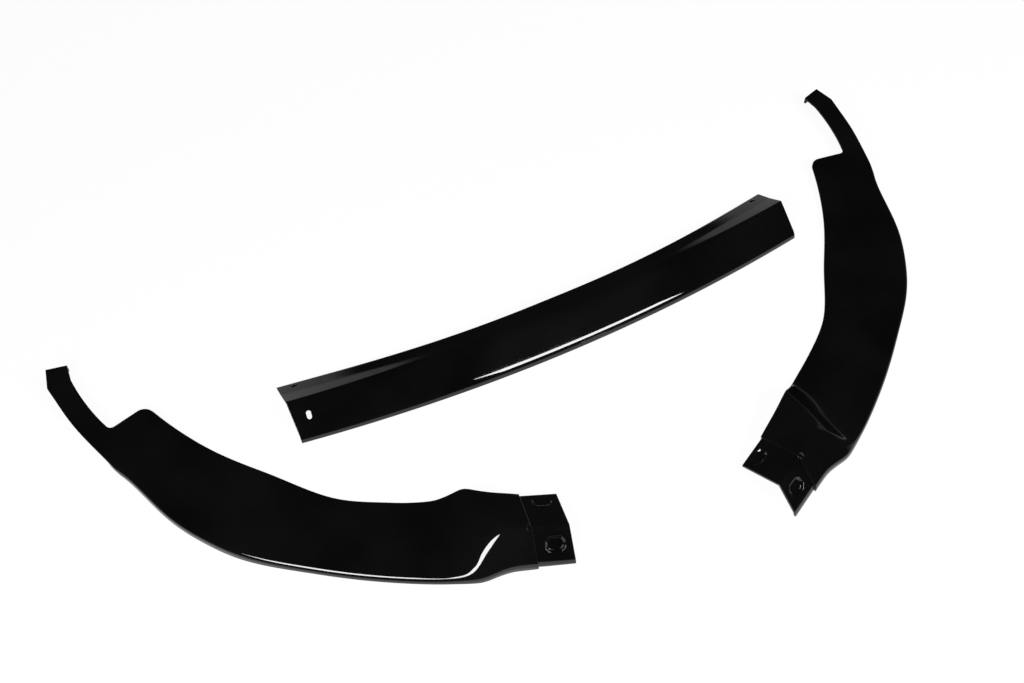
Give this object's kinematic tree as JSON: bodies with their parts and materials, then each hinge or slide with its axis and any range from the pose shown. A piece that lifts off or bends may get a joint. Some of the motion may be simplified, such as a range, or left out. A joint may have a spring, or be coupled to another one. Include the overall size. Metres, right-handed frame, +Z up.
{
  "type": "front splitter lip",
  "caption": "Gloss black front splitter lip for a car bumper, as a bowed centre section and mirrored wings with joggled joint tabs, laid out apart on the floor.",
  "frame": {"origin": "middle of the laid-out set, on the floor that the pieces lie on", "axes": "+X to the right in the picture, along the longer side of the layout; +Y away from the viewer; +Z up from the floor"},
  "size_m": [1.1386, 0.7938, 0.0441],
  "materials": {
    "gloss_black": "glossy black paint on moulded plastic"
  },
  "bodies": {
    "root": {"centre_section": "gloss_black", "left_wing": "gloss_black", "right_wing": "gloss_black"}
  },
  "joints": []
}
